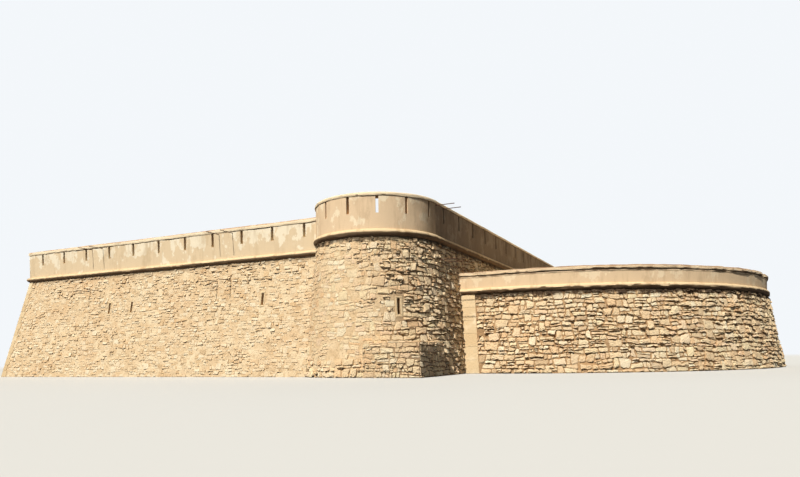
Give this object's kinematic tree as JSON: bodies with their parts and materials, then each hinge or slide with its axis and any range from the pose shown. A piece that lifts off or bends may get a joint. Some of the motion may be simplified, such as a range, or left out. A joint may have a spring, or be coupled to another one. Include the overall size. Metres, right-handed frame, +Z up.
{
  "type": "half-scale model of a coastal battery fort",
  "caption": "Walled coastal fort with battered rubble scarps, rounded cordon, plastered loopholed parapets, round corner towers and a low round gun battery",
  "frame": {"origin": "middle of the bounding box at the lowest ground level", "axes": "+X out to sea over the round battery, +Y from the sunlit front wall to the back wall, +Z up"},
  "size_m": [22.457, 18.6248, 4.3],
  "materials": {
    "fine_rubble": "rough",
    "coarse_rubble": "rough",
    "plaster": "matt",
    "cordon_stone": "matt",
    "coping_stone": "rough",
    "ashlar": "matt",
    "paving": "rough",
    "earth_fill": "rough",
    "iron": "rusty"
  },
  "bodies": {
    "root": {"front_wall_scarp": "fine_rubble", "front_wall_cordon": "cordon_stone", "front_wall_parapet": "plaster", "front_wall_merlons": "plaster", "front_wall_coping": "coping_stone", "back_wall_scarp": "fine_rubble", "back_wall_cordon": "cordon_stone", "back_wall_parapet": "plaster", "back_wall_merlons": "plaster", "back_wall_coping": "coping_stone", "land_wall_scarp": "fine_rubble", "land_wall_cordon": "cordon_stone", "land_wall_parapet": "plaster", "land_wall_merlons": "plaster", "land_wall_coping": "coping_stone", "flank_wall_scarp": "coarse_rubble", "flank_wall_cordon": "cordon_stone", "flank_wall_parapet": "plaster", "flank_wall_merlons": "plaster", "flank_wall_coping": "coping_stone", "front_tower_scarp": "coarse_rubble", "front_tower_cordon": "cordon_stone", "front_tower_platform": "paving", "front_tower_parapet": "plaster", "front_tower_merlons": "plaster", "front_tower_coping": "coping_stone", "back_tower_scarp": "coarse_rubble", "back_tower_cordon": "cordon_stone", "back_tower_platform": "paving", "back_tower_parapet": "plaster", "back_tower_merlons": "plaster", "back_tower_coping": "coping_stone", "front_tower_footing": "coarse_rubble", "battery_scarp": "coarse_rubble", "battery_end_piers": "ashlar", "battery_fill": "earth_fill", "battery_platform": "paving", "battery_cordon": "cordon_stone", "battery_parapet": "plaster", "battery_coping": "coping_stone", "court_floor": "paving", "front_wall_brackets": "iron", "flank_wall_brackets": "iron"}
  },
  "joints": []
}
